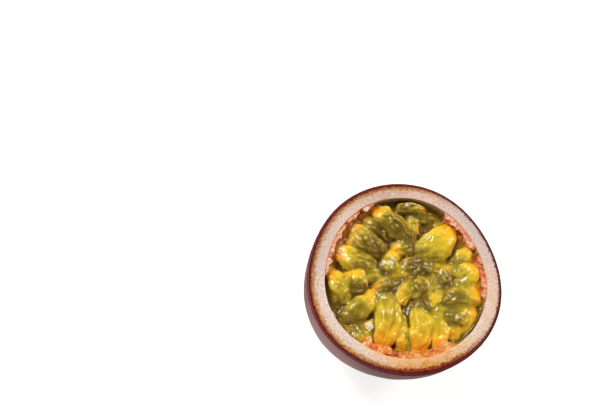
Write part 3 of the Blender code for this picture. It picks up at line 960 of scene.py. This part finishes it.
# The heap's top is laid over rings of points, and plain rows close it down the inner wall, out of sight.
points = []
values = {field: [] for field in fields}
in_sac = []
for ring in range(PULP_RINGS + 1):
    share = max(ring / PULP_RINGS, PULP_MIDDLE)
    for side in range(PULP_SIDES):
        bearing = math.tau * side / PULP_SIDES
        radius = (wall_radius(bearing, JUICE_DEPTH) - 0.08 * MM) * share
        x = radius * math.cos(bearing)
        y = radius * math.sin(bearing)
        points.append((x, y, looked_up(surface, x, y)))
        in_sac.append(looked_up(insides, x, y))
        for field in fields:
            values[field].append(looked_up(fields[field], x, y))
for depth in PULP_ROWS:
    for side in range(PULP_SIDES):
        bearing = math.tau * side / PULP_SIDES
        radius = wall_radius(bearing, depth * MM, RIDGE_HEIGHT) - 0.4 * MM
        points.append((radius * math.cos(bearing), radius * math.sin(bearing), DEPTH - depth * MM))
        in_sac.append((0.0, 0.0, 0.0))
        for field in fields:
            values[field].append(0.0)
faces = [face[::-1] for face in grid_faces(len(points) // PULP_SIDES, PULP_SIDES, closed=True)]
faces.append(tuple(range(PULP_SIDES)))
faces.append(tuple(range(len(points) - PULP_SIDES, len(points)))[::-1])

# Wet fruit membrane over juicy pulp: clear jelly that glows from inside, with a film of juice that gives it
# sharp white lights. Orange at the foot, yellow above it, and olive green where the seed shows through. Its
# crevices and lower parts are painted dark brown as shade, and its raised folds painted pale yellow as
# highlights. Its pulp cells are finer than the picture can show, so they are drawn at half a millimetre.
CLOUD_WIDTH = 2.4  # mm, as are the widths of all the patterns below
FIBRE_WIDTH = 0.8
FOOT_EDGE_WIDTH = 2.0
PULP_CELL = 0.5
WRINKLE_WIDTH = 1.0
membrane, tree, shader = new_material(
    "Wet_sac_membrane",
    {
        "Roughness": 0.35,
        "IOR": 1.36,
        "Specular IOR Level": 0.08,
        "Subsurface Weight": 0.75,
        "Subsurface Radius": (1.0, 0.75, 0.25),
        "Subsurface Scale": 1.6 * MM,
        "Coat Weight": 1.0,
        "Coat Roughness": 0.04,
        "Coat IOR": 1.4,
    },
)
mm = in_millimetres(tree)
given = {
    name: add_node(tree, "ShaderNodeAttribute", attribute_name=name).outputs["Fac"]
    for name in values
}
inside = add_node(tree, "ShaderNodeAttribute", attribute_name="inside").outputs["Vector"]
clouds = add_node(
    tree, "ShaderNodeTexNoise", {"Vector": mm, "Scale": 1 / CLOUD_WIDTH, "Detail": 5.0, "Roughness": 0.65}
)
drawn_out = add_node(tree, "ShaderNodeMapping", {"Vector": inside, "Scale": (0.35, 1.0, 1.0)})
fibres = add_node(
    tree,
    "ShaderNodeTexNoise",
    {"Vector": drawn_out.outputs["Vector"], "Scale": 1 / FIBRE_WIDTH, "Detail": 4.0},
)

# Unripe green grows along a sac, clouds and fibres break it up, and a riper sac has less of it.
green = add_node(tree, "ShaderNodeMath", {0: given["along"], 1: 0.6, 2: 0.52}, operation="MULTIPLY_ADD")
for pattern, amount in ((clouds, 0.8), (fibres, 0.25)):
    swing = add_node(tree, "ShaderNodeMath", {0: pattern.outputs["Fac"], 1: 0.5}, operation="SUBTRACT")
    green = add_node(
        tree,
        "ShaderNodeMath",
        {0: swing.outputs[0], 1: amount, 2: green.outputs[0]},
        operation="MULTIPLY_ADD",
    )
green = add_node(
    tree, "ShaderNodeMath", {0: given["ripe"], 1: -0.85, 2: green.outputs[0]}, operation="MULTIPLY_ADD"
)
juice_colour = add_node(
    tree,
    "ShaderNodeValToRGB",
    {"Fac": green.outputs[0]},
    stops=[
        (0.0, "#f8bc24"),
        (0.12, "#f0cc30"),
        (0.25, "#dac030"),
        (0.42, "#b49e2a"),
        (0.62, "#957b22"),
        (1.0, "#725a18"),
    ],
)

# The orange foot ends in a ragged edge, further along a riper sac.
foot_edge = add_node(tree, "ShaderNodeTexNoise", {"Vector": mm, "Scale": 1 / FOOT_EDGE_WIDTH, "Detail": 1.0})
swing = add_node(tree, "ShaderNodeMath", {0: foot_edge.outputs["Fac"], 1: 0.5}, operation="SUBTRACT")
ragged_along = add_node(
    tree, "ShaderNodeMath", {0: swing.outputs[0], 1: 0.35, 2: given["along"]}, operation="MULTIPLY_ADD"
)
beyond_foot = add_node(
    tree,
    "ShaderNodeMath",
    {0: given["ripe"], 1: -0.32, 2: ragged_along.outputs[0]},
    operation="MULTIPLY_ADD",
)
foot = add_node(
    tree,
    "ShaderNodeMapRange",
    {"Value": beyond_foot.outputs[0], "From Min": 0.0, "From Max": 0.30, "To Min": 0.96, "To Max": 0.0},
)
# The deeper orange at the very base of a foot, where it meets the ridge, is partly its own colour and partly
# painted shade.
foot_colour = add_node(
    tree,
    "ShaderNodeValToRGB",
    {"Fac": ragged_along.outputs[0]},
    stops=[(0.0, "#cc6c14"), (0.07, "#eea01c"), (0.20, "#fab826"), (0.36, "#f2c834"), (0.6, "#e2cc40")],
)
granular = add_node(tree, "ShaderNodeMapping", {"Vector": inside, "Scale": (0.6, 1.0, 1.0)})
cells = add_node(
    tree,
    "ShaderNodeTexNoise",
    {"Vector": granular.outputs["Vector"], "Scale": 1 / PULP_CELL, "Detail": 4.0},
)
cell_tone = add_node(
    tree,
    "ShaderNodeValToRGB",
    {"Fac": cells.outputs["Fac"]},
    stops=[(0.34, 0.88), (0.5, 0.97), (0.64, 1.0)],
)
seed_share = add_node(tree, "ShaderNodeMath", {0: given["seed"], 1: 0.9}, operation="MULTIPLY")
# Painted shade: the crevices between sacs and the heap's lower parts go dark brown.
crevice_share = add_node(
    tree,
    "ShaderNodeMath",
    {0: given["crevice"], 1: 0.85, 2: given["deep"]},
    operation="MULTIPLY_ADD",
    use_clamp=True,
)
# Painted highlight: pale yellow along the raised folds.
fold_share = add_node(tree, "ShaderNodeMath", {0: given["fold"], 1: 0.35}, operation="MULTIPLY")
pulp = juice_colour.outputs["Color"]
for share, colour, way in (
    (foot.outputs[0], foot_colour.outputs["Color"], "MIX"),
    (1.0, cell_tone.outputs["Color"], "MULTIPLY"),
    (seed_share.outputs[0], linear("#4a3f10"), "MIX"),
    (crevice_share.outputs[0], linear("#542f04"), "MIX"),
    (fold_share.outputs[0], linear("#f8d46c"), "MIX"),
    (given["rooted"], linear("#cd6f24"), "MIX"),
):
    over = add_node(tree, "ShaderNodeMix", {0: share, 6: pulp, 7: colour}, data_type="RGBA", blend_type=way)
    pulp = over.outputs[2]
tree.links.new(pulp, shader.inputs["Base Color"])
wrinkles = add_node(
    tree, "ShaderNodeTexNoise", {"Vector": mm, "Scale": 1 / WRINKLE_WIDTH, "Detail": 5.0, "Roughness": 0.65}
)
wrinkled = add_node(
    tree, "ShaderNodeBump", {"Height": wrinkles.outputs["Fac"], "Strength": 0.12, "Distance": 0.4 * MM}
)
fibrous = add_node(
    tree,
    "ShaderNodeBump",
    {
        "Height": fibres.outputs["Fac"],
        "Strength": 0.15,
        "Distance": 0.4 * MM,
        "Normal": wrinkled.outputs["Normal"],
    },
)
tree.links.new(fibrous.outputs["Normal"], shader.inputs["Normal"])
film = add_node(
    tree, "ShaderNodeBump", {"Height": wrinkles.outputs["Fac"], "Strength": 0.04, "Distance": 0.4 * MM}
)
tree.links.new(film.outputs["Normal"], shader.inputs["Coat Normal"])

sacs = new_piece("juice_sacs", points, faces, membrane, values)
layer = sacs.data.attributes.new("inside", "FLOAT_VECTOR", "POINT")
layer.data.foreach_set("vector", np.asarray(in_sac, dtype=np.float32).ravel())
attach(sacs, "root")
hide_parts("pulp")


# The table, the light and the camera.
# A plain white surface under broad soft light, strongest from the upper left. The camera looks down on the
# cut face, 22 degrees off its normal.

FLOOR_HALF = 3.0  # m

bm = bmesh.new()
bmesh.ops.create_grid(bm, x_segments=1, y_segments=1, size=FLOOR_HALF)
floor_mesh = bpy.data.meshes.new("floor")
bm.to_mesh(floor_mesh)
bm.free()
floor = bpy.data.objects.new("floor", floor_mesh)
bpy.context.scene.collection.objects.link(floor)

# Opal acrylic, lit a little from below: smooth, evenly white, and nearly free of shadows.
opal, tree, shader = new_material(
    "Lit_opal_acrylic",
    {
        "Roughness": 0.6,
        "Base Color": linear("#c8c8c8"),
        "Emission Color": linear("#ffffff"),
        "Emission Strength": 0.8,
    },
)
floor_mesh.materials.append(opal)

LEAN = math.radians(22.0)
LEAN_BEARING = math.radians(229.0)
CAMERA_DISTANCE = 0.3995
FACE_IN_PICTURE = (405.3, 278.6)  # pixels to the middle of the cut face, from the left and from the top
PICTURE = (607, 411)
LENS = 85.0
SENSOR_WIDTH = 36.0

camera_data = bpy.data.cameras.new("camera")
camera_data.lens = LENS
camera_data.sensor_width = SENSOR_WIDTH
camera_data.clip_start = 0.01
camera = bpy.data.objects.new("camera", camera_data)
bpy.context.scene.collection.objects.link(camera)
bpy.context.scene.camera = camera
towards = Vector((
    math.sin(LEAN) * math.cos(LEAN_BEARING),
    math.sin(LEAN) * math.sin(LEAN_BEARING),
    math.cos(LEAN),
))
up = Vector((0.0, 1.0, 0.0))
up = (up - towards * up.dot(towards)).normalized()
straight = Matrix((up.cross(towards), up, towards)).transposed()
pixels_deep = LENS / SENSOR_WIDTH * PICTURE[0]
sight = Vector((FACE_IN_PICTURE[0] - PICTURE[0] / 2, PICTURE[1] / 2 - FACE_IN_PICTURE[1], -pixels_deep))
aside = sight.normalized().rotation_difference(Vector((0.0, 0.0, -1.0))).to_matrix()
camera.matrix_world = Matrix.Translation(
    Vector((0.0, 0.0, DEPTH)) + towards * CAMERA_DISTANCE
) @ (straight @ aside).to_4x4()


def add_softbox(name, place, size, power, colour):
    """A broad soft light, so many metres wide and high, aimed at the fruit."""
    data = bpy.data.lights.new(name, "AREA")
    data.color = linear(colour)[:3]
    data.shape = "RECTANGLE"
    data.size, data.size_y = size
    data.energy = power
    box = bpy.data.objects.new(name, data)
    box.location = place
    aim = Vector((0.0, 0.0, 0.03)) - Vector(place)
    box.rotation_euler = aim.to_track_quat("-Z", "Y").to_euler()
    bpy.context.scene.collection.objects.link(box)


add_softbox("window", (-0.50, 0.42, 0.75), (0.45, 0.40), 8.9, "#fffefa")
add_softbox("fill", (0.60, 0.30, 0.60), (0.30, 0.30), 3.6, "#fff0d4")

world = bpy.data.worlds.new("studio")
bpy.context.scene.world = world
world.use_nodes = True
world.node_tree.nodes["Background"].inputs["Color"].default_value = linear("#ffffff")
world.node_tree.nodes["Background"].inputs["Strength"].default_value = 0.16
bpy.context.scene.view_settings.view_transform = "Standard"
